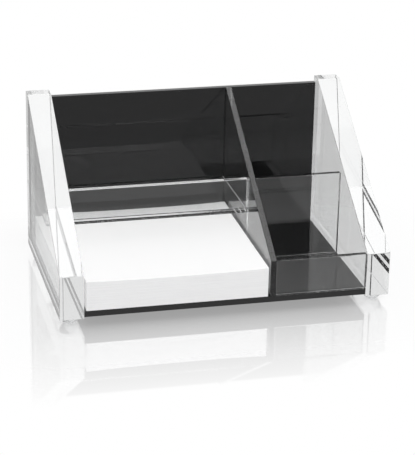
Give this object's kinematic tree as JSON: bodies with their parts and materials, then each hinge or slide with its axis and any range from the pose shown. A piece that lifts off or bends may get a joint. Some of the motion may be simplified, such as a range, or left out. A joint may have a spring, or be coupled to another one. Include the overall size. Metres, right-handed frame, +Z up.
{
  "type": "desk memo holder",
  "caption": "Clear and black acrylic desk holder with a memo paper bay under a clear shelf, a pen well and a clip tray between thick slanted side panels.",
  "frame": {"origin": "middle of the footprint, on the surface that the feet stand on", "axes": "+X to the right as seen from the front, +Y to the back, +Z up"},
  "size_m": [0.165, 0.1, 0.0885],
  "materials": {
    "clear_acrylic": "clear cast acrylic, 12 mm thick, flame-polished edges",
    "clear_sheet": "clear acrylic sheet, 3 mm thick and 2 mm for the shelf, polished edges",
    "black_acrylic": "opaque black acrylic with a mirror gloss",
    "memo_paper": "uncoated white paper, cut edges",
    "clear_rubber": "clear soft domed bumper"
  },
  "bodies": {
    "holder": {"left_side_panel": "clear_acrylic", "right_side_panel": "clear_acrylic", "base_plate": "black_acrylic", "back_panel": "black_acrylic", "centre_divider": "clear_sheet", "memo_shelf": "clear_sheet", "shelf_lip": "clear_sheet", "pen_partition": "clear_sheet", "clip_front_wall": "clear_sheet", "front_left_foot": "clear_rubber", "front_right_foot": "clear_rubber", "rear_left_foot": "clear_rubber", "rear_right_foot": "clear_rubber"},
    "memo_paper": {"memo_block": "memo_paper"}
  },
  "joints": [
    {"name": "memo_block_slide", "type": "slide", "parent": "holder", "child": "memo_paper", "axis": [0, -1, 0], "range_m": [0, 0.044]}
  ]
}
